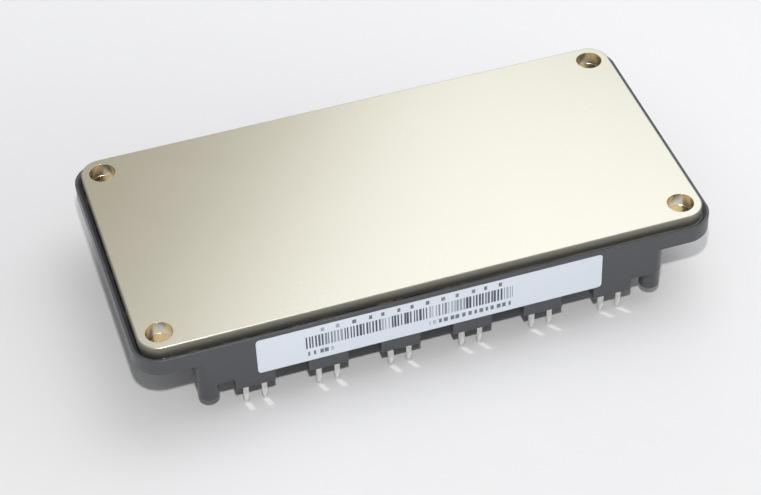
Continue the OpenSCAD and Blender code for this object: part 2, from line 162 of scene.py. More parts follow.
class ModuleShape(bpy.types.PropertyGroup):
    """Sizes of the finished surfaces"""

    plate_roll: length("Plate roll", 0.3, "Radius of the rolled edge of the base plate")
    hole_round: length("Hole round", 0.06, "Radius at the mouth of each mounting hole")
    case_round: length("Case round", 0.25, "Radius along the outer edges of the case")
    lip_width: length("Lip width", 0.5, "Width of the flat lip on top of the rim")
    slope_height: length("Slope height", 0.7, "Height of the slope inside the lip")
    block_width: length("Block width", 8.3, "Width of each pin block along the module")
    block_depth: length("Block depth", 4.0, "Depth of each pin block across the module")
    block_end: length("Block end", 5.4, "Height of the free end of the pin blocks above the floor")
    dome_radius: length("Dome radius", 2.1, "Radius of the screw domes")
    dome_round: length("Dome round", 0.8, "Radius of the rounded end of the screw domes")
    dome_hole: length("Dome hole", 9.0, "Depth of the screw hole in each dome")
    pin_round: length("Pin round", 0.1, "Radius along the edges of the pins")
    pin_taper: length("Pin taper", 1.5, "Length of the tapered tip of each pin")
    label_corner: length("Label corner", 0.8, "Corner radius of the label")
    lid_border: length("Lid border", 4.0, "Width of the border round the recessed panel of the lid")
    lid_recess: length("Lid recess", 0.4, "Depth of the recessed panel of the lid")
    steps: IntProperty(name="Corner steps", description="Steps round each corner", default=12, min=3, max=32)


class ModuleFinish(bpy.types.PropertyGroup):
    """Colours of the finished surfaces"""

    nickel: colour("Nickel", (0.80, 0.76, 0.625), "Plating of the base plate")
    plastic: colour("Case plastic", (0.052, 0.055, 0.060), "Moulded case and lid")
    glue: colour("Adhesive", (0.018, 0.016, 0.014), "Adhesive round the base plate")
    brass: colour("Bush", (0.82, 0.62, 0.33), "Mounting bushes")
    tin: colour("Tin", (0.78, 0.78, 0.75), "Plating of the pins and terminals")
    label: colour("Label", (0.77, 0.815, 0.87), "Label stock")
    ink: colour("Ink", (0.075, 0.08, 0.12), "Printed bars of the label")
    solder: colour("Solder", (0.42, 0.43, 0.45), "Solder layers")
    copper: colour("Copper", (0.72, 0.36, 0.22), "Copper layers")
    alumina: colour("Ceramic", (0.85, 0.85, 0.81), "Ceramic layers")
    silicon: colour("Silicon", (0.20, 0.22, 0.27), "Chips")
    wire: colour("Wire", (0.80, 0.81, 0.83), "Bond wires")
    gel: colour("Gel", (0.93, 0.95, 0.96), "Silicone gel")
    wear: amount("Wear", 0.35, "Strength of the marks that handling leaves")


class ModuleStage(bpy.types.PropertyGroup):
    """Floor, light and camera"""

    floor: colour("Floor", (0.785, 0.768, 0.754), "Colour of the floor")
    key_power: watts("Key power", 1.2, "Power of the small lamp")
    key_size: length("Key size", 16, "Size of the small lamp")
    key_tint: colour("Key", (0.97, 0.97, 0.975), "Colour of the small lamp")
    soft_power: watts("Soft power", 1.06, "Power of the broad lamp")
    soft_tint: colour("Soft", (0.807, 0.87, 1.0), "Colour of the broad lamp")
    fill_power: watts("Fill power", 0.5, "Power of the broad lamp's matt twin")
    fill_tint: colour("Fill", (1.0, 0.93, 0.82), "Colour of the broad lamp's matt twin")
    sky_tint: colour("Sky", (0.88, 0.935, 1.0), "Colour of the sky")
    back_tint: colour("Sky behind", (1.0, 0.95, 0.84), "Colour of the sky behind the module")
    ambient: amount("Ambient", 0.43, "Strength of the sky")
    lift: amount("Floor lift", 0.14, "How much brighter the floor is seen towards its far right")
    # strength of the painted glints, floor emission drawn past the front pins
    glint: amount("Pin glints", 0.17, "Strength of the light that the front pins throw on the floor")
    lens: FloatProperty(name="Lens", description="Focal length in millimetres", default=103.84, min=10)


# ---- mesh work


def arc(cx, cz, radius, start, end, steps=4):
    """Points of an arc in a profile, with angles in degrees."""
    turns = [math.radians(start + (end - start) * k / steps) for k in range(steps + 1)]
    return [(cx + radius * math.cos(a), cz + radius * math.sin(a)) for a in turns]


def stations(half_l, half_w, steps, along):
    """Corner centres and outward directions round a rectangle, anticlockwise from +X."""
    result = []
    for n, (sx, sy, start) in enumerate(CORNERS):
        for k in range(steps + 1):
            a = math.radians(start + 90 * k / steps)
            result.append((sx * half_l, sy * half_w, math.cos(a), math.sin(a)))
        x, y, c, s = result[-1]
        nx, ny = CORNERS[(n + 1) % 4][0] * half_l, CORNERS[(n + 1) % 4][1] * half_w
        for k in range(1, along):
            t = k / along
            result.append((x + (nx - x) * t, y + (ny - y) * t, c, s))
    return result


def vertices(bm, places):
    """New vertices at places given in millimetres."""
    return [bm.verts.new((x * MM, y * MM, z * MM)) for x, y, z in places]


def swept(bm, half_l, half_w, profile, steps, along=1, ripple=None):
    """Adds a closed solid whose side follows a profile of (out, height) round a rounded rectangle.
    half_l and half_w reach to the corner centres, and out is measured outward from those."""
    places = stations(half_l, half_w, steps, along)
    rings = []
    for n, (out, z) in enumerate(profile):
        ring = [(x + c * out, y + s * out) for x, y, c, s in places]
        rings.append(vertices(bm, [(x, y, z + (ripple(n, x, y) if ripple else 0)) for x, y in ring]))
    join_rings(bm, rings)


def join_rings(bm, rings, closed=False):
    """Joins rings of vertices with quads, and closes the ends with caps or into a loop."""
    following = rings[1:] + rings[:1] if closed else rings[1:]
    for a, b in zip(rings, following):
        for i in range(len(a)):
            j = (i + 1) % len(a)
            bm.faces.new((a[i], a[j], b[j], b[i]))
    if not closed:
        bm.faces.new(list(reversed(rings[0])))
        bm.faces.new(rings[-1])


def turned(bm, x, y, profile, steps, closed=False):
    """Adds a solid of revolution about a vertical axis from a profile of (radius, height)."""
    angles = [2 * math.pi * k / steps for k in range(steps)]
    rings = []
    for radius, z in profile:
        rings.append(vertices(bm, [(x + radius * math.cos(a), y + radius * math.sin(a), z) for a in angles]))
    join_rings(bm, rings, closed)


def prism(bm, outline, x0, x1):
    """Adds a prism along X from an outline of (y, z)."""
    join_rings(bm, [vertices(bm, [(x, y, z) for y, z in outline]) for x in (x0, x1)])


def soft_box(bm, x, y, z, radius):
    """Adds a box with rounded edges between the places x, y and z."""
    steps = 3
    half_l, half_w = (x[1] - x[0]) / 2, (y[1] - y[0]) / 2
    profile = arc(0, z[0] + radius, radius, -90, 0, steps)
    profile += arc(0, z[1] - radius, radius, 0, 90, steps)
    profile = [(max(out, 0.002), height) for out, height in profile]
    fresh = len(bm.verts)
    swept(bm, half_l - radius, half_w - radius, profile, steps)
    bm.verts.ensure_lookup_table()
    shift = Vector(((x[0] + x[1]) / 2 * MM, (y[0] + y[1]) / 2 * MM, 0))
    bmesh.ops.translate(bm, verts=bm.verts[fresh:], vec=shift)


def raw_object(name, make, home=None):
    """A new object whose mesh is filled by make(bm), with its faces turned outward."""
    bm = bmesh.new()
    make(bm)
    bmesh.ops.remove_doubles(bm, verts=bm.verts, dist=1e-8)
    bmesh.ops.recalc_face_normals(bm, faces=bm.faces)
    mesh = bpy.data.meshes.new(name)
    bm.to_mesh(mesh)
    bm.free()
    obj = bpy.data.objects.new(name, mesh)
    (home or bpy.context.scene.collection).objects.link(obj)
    return obj


def combine(target, makers, operation):
    """Joins or cuts target with solids, each filled by a maker, and keeps the result in its mesh."""
    tools = bpy.data.collections.new("tools")
    bpy.context.scene.collection.children.link(tools)
    for n, make in enumerate(makers):
        raw_object(f"tool_{n}", make, tools)
    step = target.modifiers.new("combine", "BOOLEAN")
    step.operand_type = "COLLECTION"
    step.collection = tools
    step.operation = operation
    step.solver = "EXACT"
    settle(target)
    for tool in list(tools.objects):
        mesh = tool.data
        bpy.data.objects.remove(tool)
        bpy.data.meshes.remove(mesh)
    bpy.data.collections.remove(tools)


def settle(obj):
    """Replaces the mesh of an object by what its modifiers make of it."""
    graph = bpy.context.evaluated_depsgraph_get()
    graph.update()
    old = obj.data
    fresh = bpy.data.meshes.new_from_object(obj.evaluated_get(graph), depsgraph=graph)
    obj.modifiers.clear()
    obj.data = fresh
    fresh.name = obj.name
    bpy.data.meshes.remove(old)


def finish_piece(obj, finish, replaced, sharp=32):
    """Shades a piece, gives it its finish and rides it on the module in place of a frame node."""
    bm = bmesh.new()
    bm.from_mesh(obj.data)
    bmesh.ops.remove_doubles(bm, verts=bm.verts, dist=2e-7)
    bmesh.ops.dissolve_degenerate(bm, edges=bm.edges, dist=2e-7)
    bm.to_mesh(obj.data)
    bm.free()
    obj.data.shade_smooth()
    obj.data.set_sharp_from_angle(angle=math.radians(sharp))
    weight = obj.modifiers.new("weighted_normals", "WEIGHTED_NORMAL")
    weight.keep_sharp = True
    settle(obj)
    obj.data.materials.clear()
    obj.data.materials.append(finish_of(finish))
    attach(obj, BODY)
    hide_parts(replaced)


# ---- node work


def node(tree, kind, inputs=None, **settings):
    """A new node with its settings, and with its inputs set or linked."""
    fresh = tree.nodes.new(kind)
    for key, value in settings.items():
        setattr(fresh, key, value)
    for key, value in (inputs or {}).items():
        socket = fresh.inputs[key]
        if isinstance(value, bpy.types.NodeSocket):
            tree.links.new(value, socket)
        else:
            socket.default_value = value
    return fresh


def maths(tree, operation, a, b=0.0, clamp=False):
    """Result of a Math node."""
    return node(tree, "ShaderNodeMath", {0: a, 1: b}, operation=operation, use_clamp=clamp).outputs[0]


def times(tree, a, b):
    """Product of two values."""
    return maths(tree, "MULTIPLY", a, b)


def minus(tree, a, b):
    """Difference of two values."""
    return maths(tree, "SUBTRACT", a, b)


def ramp(tree, value, low, high, to_low=0.0, to_high=1.0, smooth=False):
    """A value remapped from one range to another, clamped."""
    kind = "SMOOTHSTEP" if smooth else "LINEAR"
    inputs = {"Value": value, "From Min": low, "From Max": high, "To Min": to_low, "To Max": to_high}
    return node(tree, "ShaderNodeMapRange", inputs, interpolation_type=kind).outputs["Result"]


def blend_colour(tree, factor, a, b):
    """Two colours mixed by a factor."""
    return node(tree, "ShaderNodeMix", {0: factor, 6: a, 7: b}, data_type="RGBA").outputs[2]


def rgba(value):
    """Four values from a three-value colour."""
    return (*value, 1.0)


def object_place(tree):
    """Place on an object, in its own axes."""
    return node(tree, "ShaderNodeTexCoord").outputs["Object"]


def split(tree, vector):
    """The X, Y and Z of a vector."""
    return node(tree, "ShaderNodeSeparateXYZ", {0: vector}).outputs


def vector_maths(tree, operation, a, b=(0.0, 0.0, 0.0)):
    """The outputs of a Vector Math node."""
    return node(tree, "ShaderNodeVectorMath", {0: a, 1: b}, operation=operation).outputs


def noise(tree, place, scale, detail):
    """Value of a noise texture."""
    return node(tree, "ShaderNodeTexNoise", {"Vector": place, "Scale": scale, "Detail": detail}).outputs[0]


def new_group(name, inputs, outputs):
    """An empty shader node group with its sockets, and its input and output nodes."""
    group = bpy.data.node_groups.new(name, "ShaderNodeTree")
    for label, kind, value in inputs:
        socket = group.interface.new_socket(name=label, in_out="INPUT", socket_type=kind)
        socket.default_value = value
    for label, kind in outputs:
        group.interface.new_socket(name=label, in_out="OUTPUT", socket_type=kind)
    return group, group.nodes.new("NodeGroupInput").outputs, group.nodes.new("NodeGroupOutput").inputs


FLOAT, COLOUR = "NodeSocketFloat", "NodeSocketColor"
MOTTLE_FINER, MOTTLE_SLOW_SHARE = 7.3, 0.7
SCUFF_TURNS = ((0.35, 0.16), (1.9, 0.22), (-0.8, 0.12))  # angle and stretch of each set of scratches
SCUFF_FADE = 0.12
DUST_SCALE = 900.0


def mottle_group():
    """Slow and fine variation of tone and gloss over a surface."""
    group, inp, out = new_group(
        "mottle",
        (
            ("Color", COLOUR, (0.5, 0.5, 0.5, 1)),
            ("Roughness", FLOAT, 0.4),
            ("Size", FLOAT, 0.01),
            ("Tone", FLOAT, 0.1),
            ("Gloss", FLOAT, 0.1),
        ),
        (("Color", COLOUR), ("Roughness", FLOAT), ("Mask", FLOAT)),
    )
    place = object_place(group)
    scale = maths(group, "DIVIDE", 1.0, inp["Size"])
    broad = {"Vector": place, "Scale": scale, "Detail": 3.0, "Roughness": 0.55}
    slow = node(group, "ShaderNodeTexNoise", broad)
    fine = noise(group, place, times(group, scale, MOTTLE_FINER), 4.0)
    slow_part = times(group, slow.outputs[0], MOTTLE_SLOW_SHARE)
    fine_part = times(group, fine, 1.0 - MOTTLE_SLOW_SHARE)
    mask = ramp(group, maths(group, "ADD", slow_part, fine_part), 0.35, 0.65)
    centred = minus(group, mask, 0.5)
    tone = maths(group, "ADD", 1.0, times(group, centred, inp["Tone"]))
    shade = node(group, "ShaderNodeVectorMath", {0: inp["Color"], "Scale": tone}, operation="SCALE")
    gloss = times(group, centred, inp["Gloss"])
    group.links.new(shade.outputs[0], out["Color"])
    group.links.new(maths(group, "ADD", inp["Roughness"], gloss, True), out["Roughness"])
    group.links.new(mask, out["Mask"])
    return group


def grain_group():
    """Height of a fine moulded or blasted grain, in metres."""
    group, inp, out = new_group(
        "grain",
        (("Size", FLOAT, 0.0004), ("Depth", FLOAT, 0.00001)),
        (("Height", FLOAT), ("Mask", FLOAT)),
    )
    bumps = noise(group, object_place(group), maths(group, "DIVIDE", 1.0, inp["Size"]), 2.0)
    group.links.new(times(group, bumps, inp["Depth"]), out["Height"])
    group.links.new(bumps, out["Mask"])
    return group


def scuff_group():
    """Mask of thin random scratches and small marks that handling leaves."""
    group, inp, out = new_group(
        "scuffs",
        (("Size", FLOAT, 0.02), ("Width", FLOAT, 0.012), ("Cover", FLOAT, 0.5)),
        (("Mask", FLOAT),),
    )
    place = object_place(group)
    scale = maths(group, "DIVIDE", 1.0, inp["Size"])
    total = None
    for turn, stretch in SCUFF_TURNS:
        spin = {"Vector": place, "Rotation": (0, 0, turn), "Scale": (1.0, stretch, 1.0)}
        spun = node(group, "ShaderNodeMapping", spin).outputs[0]
        where = {"Vector": spun, "Scale": scale}
        cells = node(group, "ShaderNodeTexVoronoi", where, feature="DISTANCE_TO_EDGE")
        line = ramp(group, cells.outputs["Distance"], 0.0, inp["Width"], 1.0, 0.0)
        total = line if total is None else maths(group, "MAXIMUM", total, line)
    patchy = noise(group, place, scale, 2.0)
    kept = ramp(group, patchy, inp["Cover"], maths(group, "ADD", inp["Cover"], SCUFF_FADE))
    group.links.new(times(group, total, kept), out["Mask"])
    return group


def dust_group():
    """Colour with a thin veil of dust where a surface faces up."""
    group, inp, out = new_group(
        "dust",
        (
            ("Color", COLOUR, (0.5, 0.5, 0.5, 1)),
            ("Dust", COLOUR, (0.55, 0.54, 0.52, 1)),
            ("Amount", FLOAT, 0.1),
        ),
        (("Color", COLOUR),),
    )
    normal = node(group, "ShaderNodeNewGeometry").outputs["Normal"]
    upward = ramp(group, split(group, normal)["Z"], 0.2, 0.95)
    specks = ramp(group, noise(group, object_place(group), DUST_SCALE, 3.0), 0.35, 0.75)
    veil = times(group, times(group, upward, specks), inp["Amount"])
    group.links.new(blend_colour(group, veil, inp["Color"], inp["Dust"]), out["Color"])
    return group


@cache
def shared(name):
    """A shared node group, built once."""
    makers = {"mottle": mottle_group, "grain": grain_group, "scuffs": scuff_group, "dust": dust_group}
    return makers[name]()


def placed(tree, name, inputs):
    """The outputs of a shared node group placed in a material."""
    return node(tree, "ShaderNodeGroup", inputs, node_tree=shared(name)).outputs


def new_material(name, **plain):
    """A new material, its node tree and its Principled shader with plain values set."""
    material = bpy.data.materials.new(name)
    material.use_nodes = True
    tree = material.node_tree
    shader = next(n for n in tree.nodes if n.type == "BSDF_PRINCIPLED")
    for key, value in plain.items():
        shader.inputs[key.replace("_", " ").title().replace("Ior", "IOR")].default_value = value
    return material, tree, shader


def feed(tree, shader, key, value):
    """Links a value to an input of the shader."""
    tree.links.new(value, shader.inputs[key])


def bump(tree, shader, height):
    """Feeds a height in metres to the shader's normal."""
    bumped = node(tree, "ShaderNodeBump", {"Height": height, "Strength": 1.0, "Distance": 1.0})
    feed(tree, shader, "Normal", bumped.outputs[0])


def mottled(tree, tint, roughness, size, tone, gloss):
    """Outputs of the mottle group for a colour or a socket, with a size in millimetres."""
    inputs = {"Color": tint, "Roughness": roughness, "Size": size * MM, "Tone": tone, "Gloss": gloss}
    return placed(tree, "mottle", inputs)


def scuffed(tree, size, width, cover):
    """Mask of the scuffs group, with a size in millimetres."""
    return placed(tree, "scuffs", {"Size": size * MM, "Width": width, "Cover": cover})["Mask"]


def grained(tree, size, depth):
    """Outputs of the grain group, with a size in millimetres and a depth in micrometres."""
    return placed(tree, "grain", {"Size": size * MM, "Depth": depth * MM * MM})


def coat(tree, shader, mottle, height=None, tint=None, roughness=None):
    """Feeds a mottle's colour and roughness, or others in their place, and a bump height."""
    feed(tree, shader, "Base Color", tint or mottle["Color"])
    feed(tree, shader, "Roughness", roughness or mottle["Roughness"])
    if height:
        bump(tree, shader, height)


# ---- materials

NICKEL_RUBBED = (0.60, 0.56, 0.47, 1)
# darker tones of the plate's sides and rolled edge: a shear-cut finish with painted shade in it
SHEARED_AND_SHADED_TONES = ((0.34, 0.32, 0.265, 1), (0.42, 0.395, 0.33, 1))
PLASTIC_RUBBED = (0.24, 0.245, 0.25, 1)
ADHESIVE_AMBER = (0.22, 0.13, 0.07, 1)
ADHESIVE_OLIVE = (0.19, 0.18, 0.145, 1)
CELL_TONE, RUNNER_TONE = (0.27, 0.28, 0.33, 1), (0.07, 0.07, 0.09, 1)
LABEL_ROWS = (  # pitch, least and most ink in a pitch, x range, z range from the label's corner (mm), seed
    (0.66, 0.34, 0.80, 10.0, 53.6, 3.4, 6.6, 11.0),
    (3.10, 0.20, 0.28, 12.6, 52.4, 7.3, 8.3, 31.0),
    (1.25, 0.35, 0.75, 10.4, 16.3, 1.4, 2.5, 47.0),
    (1.25, 0.35, 0.75, 35.8, 53.2, 1.4, 2.5, 53.0),
)


def nickel_plating(finish):
    """Satin nickel over copper, faintly mottled, with duller shear-cut sides outside the holes; their darker
    tone, which also covers the rolled edge, is partly painted shade.
    """
    material, tree, shader = new_material("nickel_plating", metallic=1.0)
    mottle = mottled(tree, rgba(finish.nickel), 0.27, 14, 0.02, 0.008)
    marks = times(tree, scuffed(tree, 30, 0.0025, 0.66), finish.wear * 0.04)
    face = blend_colour(tree, marks, mottle["Color"], NICKEL_RUBBED)
    upward = split(tree, node(tree, "ShaderNodeNewGeometry").outputs["Normal"])["Z"]
    folded = vector_maths(tree, "ABSOLUTE", object_place(tree))[0]
    flat = vector_maths(tree, "MULTIPLY", folded, (1.0, 1.0, 0.0))[0]
    from_hole = vector_maths(tree, "DISTANCE", flat, (HOLE_X * MM, HOLE_Y * MM, 0.0))["Value"]
    outer = maths(tree, "GREATER_THAN", from_hole, (HOLE_R + 0.5) * MM)
    # partly painted shade: faces that turn from the top, the rolled edge included, take darker side tones as
    # well as more roughness and grain
    sheared_and_shaded = times(tree, outer, ramp(tree, upward, 0.5, 0.98, 1.0, 0.0, smooth=True))
    grain = grained(tree, 0.5, 4)
    side = blend_colour(tree, grain["Mask"], *SHEARED_AND_SHADED_TONES)
    roughness = maths(tree, "ADD", mottle["Roughness"], times(tree, sheared_and_shaded, 0.28), True)
    height = times(tree, grain["Height"], sheared_and_shaded)
    coat(tree, shader, mottle, height, blend_colour(tree, sheared_and_shaded, face, side), roughness)
    return material


def case_plastic(finish):
    """Dark grey moulded plastic with a fine spark-eroded grain."""
    material, tree, shader = new_material("case_plastic", specular_ior_level=0.75)
    mottle = mottled(tree, rgba(finish.plastic), 0.35, 9, 0.12, 0.1)
    marks = times(tree, scuffed(tree, 9, 0.008, 0.58), finish.wear)
    rubbed = blend_colour(tree, times(tree, marks, 0.5), mottle["Color"], PLASTIC_RUBBED)
    dusty = placed(tree, "dust", {"Color": rubbed, "Amount": 0.05})
    coat(tree, shader, mottle, grained(tree, 0.22, 12)["Height"], dusty["Color"])
    return material


def cured_adhesive(finish):
    """Glossy adhesive, nearly black at one end and olive at the other, with amber thin places."""
    material, tree, shader = new_material("cured_adhesive", coat_weight=0.3)
    mottle = mottled(tree, rgba(finish.glue), 0.22, 6, 0.5, 0.2)
    thin = times(tree, ramp(tree, mottle["Mask"], 0.62, 0.9), 0.7)
    amber = blend_colour(tree, thin, mottle["Color"], ADHESIVE_AMBER)
    along = split(tree, object_place(tree))["X"]
    olive = ramp(tree, along, -0.2 * HOLE_X * MM, 0.8 * HOLE_X * MM, smooth=True)
    tint = blend_colour(tree, olive, amber, ADHESIVE_OLIVE)
    coat(tree, shader, mottle, grained(tree, 1.2, 60)["Height"], tint)
    return material


def plain_surface(tint, name, metallic, roughness, patches, grain):
    """A surface of one colour with dull patches and a light grain."""
    material, tree, shader = new_material(name, metallic=metallic)
    mottle = mottled(tree, rgba(tint), roughness, *patches)
    coat(tree, shader, mottle, grained(tree, *grain)["Height"])
    return material


def window(tree, value, low, high, edge=0.00002):
    """1 where a value lies between low and high, else 0."""
    rise = ramp(tree, value, low - edge, low + edge)
    fall = ramp(tree, value, high - edge, high + edge, 1.0, 0.0)
    return times(tree, rise, fall)


def label_stock(finish):
    """Matt white label with a band of plain bars and rows of dashes."""
    material, tree, shader = new_material("label_stock", specular_ior_level=0.4)
    place = split(tree, object_place(tree))
    x = minus(tree, place["X"], LABEL_X[0] * MM)
    z = minus(tree, place["Z"], LABEL_Z[0] * MM)

    def random_of(value, seed):
        moved = maths(tree, "ADD", value, seed)
        return node(tree, "ShaderNodeTexWhiteNoise", {"W": moved}, noise_dimensions="1D").outputs["Value"]

    def bars(pitch, low, high, x0, x1, z0, z1, seed):
        turn = maths(tree, "DIVIDE", x, pitch * MM)
        cell, part = maths(tree, "FLOOR", turn), maths(tree, "FRACT", turn)
        width = ramp(tree, random_of(cell, seed), 0.0, 1.0, low, high)
        centre = ramp(tree, random_of(cell, seed + 5.0), 0.0, 1.0, 0.36, 0.64)
        aside = maths(tree, "ABSOLUTE", minus(tree, part, centre))
        line = maths(tree, "LESS_THAN", aside, times(tree, width, 0.5))
        group = maths(tree, "FLOOR", maths(tree, "DIVIDE", cell, 3.0))
        tone = ramp(tree, random_of(group, seed + 9.0), 0.15, 0.3, 0.45, 1.0)
        inside = times(tree, window(tree, x, x0 * MM, x1 * MM), window(tree, z, z0 * MM, z1 * MM))
        return times(tree, times(tree, line, tone), inside)

    ink, *rows = [bars(*row) for row in LABEL_ROWS]
    for row in rows:
        ink = maths(tree, "MAXIMUM", ink, times(tree, row, 0.85))
    mottle = mottled(tree, rgba(finish.label), 0.5, 20, 0.03, 0.06)
    tint = blend_colour(tree, ink, mottle["Color"], rgba(finish.ink))
    coat(tree, shader, mottle, grained(tree, 0.5, 3)["Height"], tint)
    return material


def silicon_face(finish):
    """Chip metal divided into fine cells by thin gate runners."""
    material, tree, shader = new_material("silicon_face", metallic=0.7)
    cells = {"Vector": object_place(tree), "Scale": 420.0, "Mortar Size": 0.03}
    tones = {"Color1": rgba(finish.silicon), "Color2": CELL_TONE, "Mortar": RUNNER_TONE}
    brick = node(tree, "ShaderNodeTexBrick", {**cells, **tones}, offset=0.0)
    mottle = mottled(tree, brick.outputs["Color"], 0.3, 4, 0.1, 0.1)
    coat(tree, shader, mottle)
    return material


def clear_gel(finish):
    """Clear silicone gel, slightly hazy."""
    material, tree, shader = new_material("clear_gel", transmission_weight=1.0, ior=1.41)
    mottle = mottled(tree, rgba(finish.gel), 0.12, 10, 0.03, 0.06)
    coat(tree, shader, mottle)
    return material


MAKERS = {
    "nickel": nickel_plating,
    "plastic": case_plastic,
    "adhesive": cured_adhesive,
    "label": label_stock,
    "silicon": silicon_face,
    "gel": clear_gel,
}
PLAIN = {  # name, metallic, roughness, size, tone and gloss of the patches, size and depth of the grain
    "brass": ("turned_brass", 1.0, 0.28, (2.2, 0.1, 0.14), (0.3, 3)),
    "tin": ("tin_plating", 1.0, 0.16, (2.2, 0.1, 0.14), (0.4, 3)),
    "solder": ("soft_solder", 1.0, 0.5, (2.2, 0.25, 0.14), (0.5, 3)),
    "copper": ("bare_copper", 1.0, 0.36, (2.2, 0.15, 0.14), (0.4, 3)),
    "wire": ("drawn_aluminium", 1.0, 0.3, (2.2, 0.08, 0.14), (0.2, 3)),
    "alumina": ("white_ceramic", 0.0, 0.42, (3, 0.05, 0.08), (0.2, 4)),
}


@cache
def finish_of(name):
    """A finish by name, made when first asked for."""
    finish = bpy.context.scene.module_finish
    if name in PLAIN:
        return plain_surface(getattr(finish, name), *PLAIN[name])
    return MAKERS[name](finish)


# ---- pieces

BEAD_SLOPE = ((0.0, 0.0), (0.06, 0.03), (0.12, 0.08), (0.19, 0.15))  # (in, up) along the bead's slope
BEAD_WAVES = ((1.0, 0.43, 0.31, 0.0), (0.6, 1.27, -0.9, 1.3), (0.4, 2.9, 2.3, 0.0))  # size, turns, start
BAR_W, BAR_INSET = 2.15, 0.01  # bar that joins the two prongs of a power terminal
PIN_NOSE = (  # height as a share of the taper, then width and thickness as shares of the shank's
    (0.0, 0.16, 0.36),
    (0.05, 0.36, 0.50),
    (0.22, 0.58, 0.68),
    (0.5, 0.76, 0.84),
    (0.85, 0.93, 0.96),
    (1.15, 1, 1),
)


def for_each(places, make):
    """One maker for each place."""
    return [lambda bm, place=place: make(bm, *place) for place in places]


def four_turned(x, y, profile, steps):
    """Makers of a solid of revolution at each of the four mirrored places."""
    return for_each([(sx * x, sy * y, profile, steps) for sx, sy in SIGNS], turned)


class MODULE_OT_base_plate(bpy.types.Operator):
    """Build the base plate with its rolled edge and rounded holes"""

    bl_idname = "module.base_plate"
    bl_label = "Base plate"

    def execute(self, context):
        shape = context.scene.module_shape
        roll, mouth = shape.plate_roll / MM, shape.hole_round / MM
        bevel = 0.12
        profile = [(PLATE_R - bevel, Z_INNER), (PLATE_R, Z_INNER + bevel)]
        profile += arc(PLATE_R - roll, Z_FACE - roll, roll, 0, 90, 8)
        plate = raw_object("base_plate_body", lambda bm: swept(bm, HOLE_X, HOLE_Y, profile, shape.steps * 2))
        hole = [(HOLE_R, Z_INNER - PAST), (HOLE_R, Z_FACE - mouth)]
        hole += arc(HOLE_R + mouth, Z_FACE - mouth, mouth, 180, 90, 5)[1:]
        hole += [(HOLE_R + mouth, Z_FACE + PAST)]
        combine(plate, four_turned(HOLE_X, HOLE_Y, hole, 64), "DIFFERENCE")
        finish_piece(plate, "nickel", "base_plate")
        return {"FINISHED"}


def pin_places():
    """Middle of every pin along the module, with the side it stands on."""
    places = [(middle(name, 0), -1) for name in SIGNAL_PINS]
    for name in TERMINALS:
        low, high = span(f"terminal_{name}", 0)
        places += [(low + PIN_W / 2, 1), (high - PIN_W / 2, 1)]
    return places


def block_places():
    """Middle of every pin block along the module, with the side it stands on."""
    places = [((middle(f"gate_pin_{i}", 0) + middle(f"emitter_pin_{i}", 0)) / 2, -1) for i in SWITCHES]
    return places + [(middle(f"terminal_{name}", 0), 1) for name in TERMINALS]


def on_side(side, a, b):
    """The range a to b across the module, mirrored to the side asked for."""
    return (a, b) if side > 0 else (-b, -a)


